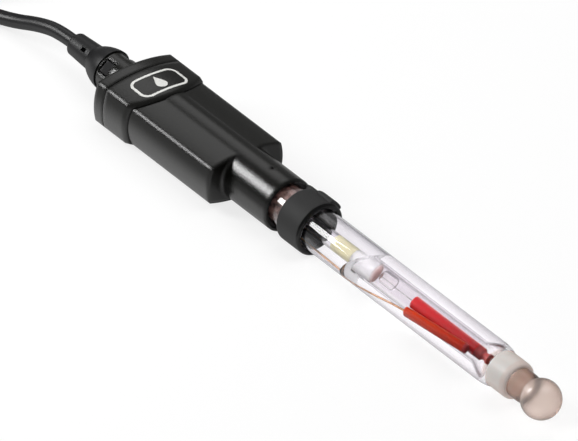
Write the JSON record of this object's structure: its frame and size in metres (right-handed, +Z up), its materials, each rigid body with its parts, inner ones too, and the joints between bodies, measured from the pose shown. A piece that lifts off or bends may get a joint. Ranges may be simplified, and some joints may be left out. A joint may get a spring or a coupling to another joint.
{
  "type": "ph electrode",
  "caption": "Combination pH electrode lying down: black connector head, clear glass shaft with red cells, frosted junction ring, glass ball tip, cable with a round plug.",
  "frame": {"origin": "bottom centre of the electrode's own bounding box, cable and plug left out, on the surface that it lies on", "axes": "+X along the shaft towards the glass ball, +Z up out of the badge side of the head, +Y to the side of the fill hole"},
  "size_m": [0.3233, 0.0402, 0.0278],
  "materials": {
    "head_plastic": "moulded black plastic with a fine spark-eroded grain",
    "boot_rubber": "satin black moulded strain relief",
    "sleeve_rubber": "matte black rubber with a glossy front lip",
    "clear_glass": "clear drawn glass",
    "bulb_glass": "faintly smoky pH glass",
    "frosted_junction": "frosted porous ring",
    "red_cell": "glossy red cell",
    "orange_cell": "glossy orange-red cell",
    "dark_red_cap": "dark red cap",
    "copper_wire": "bare copper-coloured wire",
    "brown_resin": "brown sealing resin",
    "pale_silicone": "pale translucent silicone",
    "seal_rubber": "black seal",
    "board": "green circuit board",
    "chip": "black chip package",
    "core_insulation": "grey core insulation",
    "cable_jacket": "satin black cable jacket",
    "tie_strap": "soft black strap",
    "plug_plastic": "black moulded plug",
    "nut_metal": "nickel-plated brass",
    "pin_metal": "gold-plated contact"
  },
  "bodies": {
    "electrode": {"front_shell": "head_plastic", "rear_shell": "head_plastic", "end_cap": "head_plastic", "strain_relief": "boot_rubber", "outer_tube": "clear_glass", "inner_tube": "clear_glass", "glass_bulb": "bulb_glass", "junction_ring": "frosted_junction", "measuring_cell": "red_cell", "measuring_cell_tip": "dark_red_cap", "reference_cell": "orange_cell", "reference_cell_tip": "dark_red_cap", "reference_lead": "copper_wire", "measuring_lead": "copper_wire", "shaft_bung": "brown_resin", "inner_plug": "pale_silicone", "inner_bung": "brown_resin", "neck_seal": "seal_rubber", "circuit_board": "board", "board_chips": "chip", "cable_cores": "core_insulation", "cable": "cable_jacket", "cable_hank": "cable_jacket", "cable_tail": "cable_jacket", "cable_tie": "tie_strap", "plug_body": "plug_plastic", "plug_insert": "plug_plastic", "plug_pins": "pin_metal"},
    "fill_sleeve": {"fill_sleeve": "sleeve_rubber"},
    "plug_nut": {"plug_nut": "nut_metal"}
  },
  "joints": [
    {"name": "fill_sleeve_slide", "type": "slide", "parent": "electrode", "child": "fill_sleeve", "axis": [1, 0, 0], "range_m": [-0.0024, 0.012]},
    {"name": "plug_nut_turn", "type": "hinge", "parent": "electrode", "child": "plug_nut", "pos_m": [-0.2146, -0.01405, 0.01983], "axis": [1, 0, 0], "continuous": true}
  ]
}
